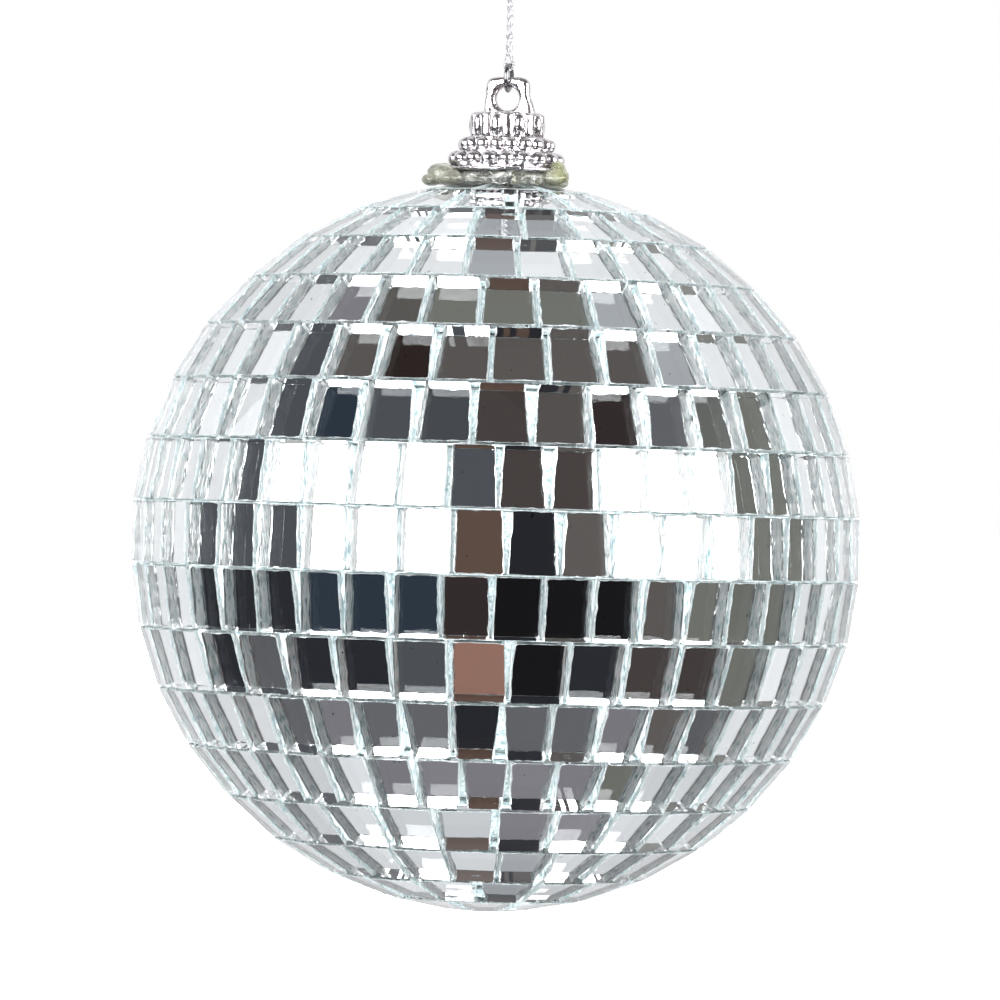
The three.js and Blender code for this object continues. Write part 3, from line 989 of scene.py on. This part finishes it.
# The room is blotchy: from DARKEST of its colours to that plus UNEVENNESS.
DARKEST, UNEVENNESS = 0.88, 0.24


def rectangle_mask(nodes, azimuth, elevation, edges):
    """1 in a rectangle of directions and 0 outside it, with soft edges."""
    west, east, low, high = edges
    soft = 0.5
    across = nodes.math("MULTIPLY", nodes.step(azimuth, west - soft, west + soft),
                        nodes.step(azimuth, east + soft, east - soft))
    up = nodes.math("MULTIPLY", nodes.step(elevation, low - soft, low + soft),
                    nodes.step(elevation, high + soft, high - soft))
    return nodes.math("MULTIPLY", across, up)


def band_ramp(nodes, azimuth, stops):
    """A band's colour and whether it covers the background, by azimuth."""
    ramp = nodes.add("ShaderNodeValToRGB")
    ramp.color_ramp.interpolation = "CONSTANT"
    nodes.link(nodes.math("MULTIPLY_ADD", azimuth, 1 / 360, 0.5), ramp.inputs[0])
    elements = ramp.color_ramp.elements
    while len(elements) < len(stops):
        elements.new(0.5)
    for element, (start, colour) in zip(elements, stops):
        element.position = start / 360 + 0.5
        element.color = linear(colour) if colour else (0, 0, 0, 0)
    return ramp.outputs["Color"], ramp.outputs["Alpha"]


def white(radiance):
    return (radiance, radiance, radiance, 1.0)


def make_world():
    """The light: plain white to the camera, even light to matt surfaces, the room to all that reflects."""
    world = bpy.data.worlds.new("studio")
    bpy.context.scene.world = world
    nodes = Nodes(world)
    coordinates = nodes.add("ShaderNodeTexCoord")
    split = nodes.add("ShaderNodeSeparateXYZ")
    nodes.link(coordinates.outputs["Generated"], split.inputs[0])
    x, y, z = split.outputs
    azimuth = nodes.math("DEGREES", nodes.math("ARCTAN2", x, nodes.math("MULTIPLY", y, -1.0)))
    elevation = nodes.math("DEGREES", nodes.math("ARCSINE", z))
    colour = nodes.mix(nodes.step(elevation, -75, 5), linear("d2d3d6"), linear("eeeef0"))
    for low, high, soft, stops in BANDS:
        radiance, covers = band_ramp(nodes, azimuth, stops)
        within = nodes.math("MULTIPLY", nodes.step(elevation, low - soft, low + soft),
                            nodes.step(elevation, high + 3 * soft, high + soft))
        colour = nodes.mix(nodes.math("MULTIPLY", within, covers), colour, radiance)
    colour = nodes.mix(rectangle_mask(nodes, azimuth, elevation, CARD), colour, linear(CARD_COLOUR))
    patches = nodes.add("ShaderNodeTexVoronoi", feature="F1")
    nodes.link(coordinates.outputs["Generated"], patches.inputs["Vector"])
    patches.inputs["Scale"].default_value = 9
    spread = nodes.add("ShaderNodeSeparateColor")
    nodes.link(patches.outputs["Color"], spread.inputs[0])
    level = nodes.math("MULTIPLY_ADD", spread.outputs[0], UNEVENNESS * MIRROR_LOSS, DARKEST * MIRROR_LOSS)
    colour = nodes.mix(1.0, colour, level, "MULTIPLY")
    for softbox in SOFTBOXES:
        mask = rectangle_mask(nodes, azimuth, elevation, softbox)
        colour = nodes.mix(mask, colour, white(SOFTBOX_RADIANCE))
    rays = nodes.add("ShaderNodeLightPath")
    colour = nodes.mix(rays.outputs["Is Diffuse Ray"], colour, white(MATT_RADIANCE))
    colour = nodes.mix(rays.outputs["Is Camera Ray"], colour, white(1.0))
    background = nodes.add("ShaderNodeBackground")
    output = nodes.add("ShaderNodeOutputWorld")
    nodes.link(colour, background.inputs["Color"])
    nodes.tree.links.new(background.outputs[0], output.inputs["Surface"])


def make_floor():
    """A pale floor well below the ball, which its mirrors don't pick up."""
    size, level = 60.0, cad_box[0].z - 0.17
    corners = [(-size, -size, level), (size, -size, level), (size, size, level), (-size, size, level)]
    material, nodes = new_material("pale_floor")
    nodes.principled(Base_Color=(1.0, 1.0, 1.0, 1), Roughness=0.9, Specular_IOR_Level=0.0)
    floor = new_object("floor", corners, [(0, 1, 2, 3)], [material])
    floor.visible_glossy = False
    floor.visible_transmission = False


make_camera()
thread_material = silver_thread()
make_thread(thread_material, make_bight(thread_material))
make_jump_ring()
make_ball()
make_core()
chrome_material = chromed_plastic()
make_crown(chrome_material)
make_crown_eye(chrome_material)
make_glue()
make_world()
make_floor()
bpy.context.scene.view_settings.view_transform = "Standard"
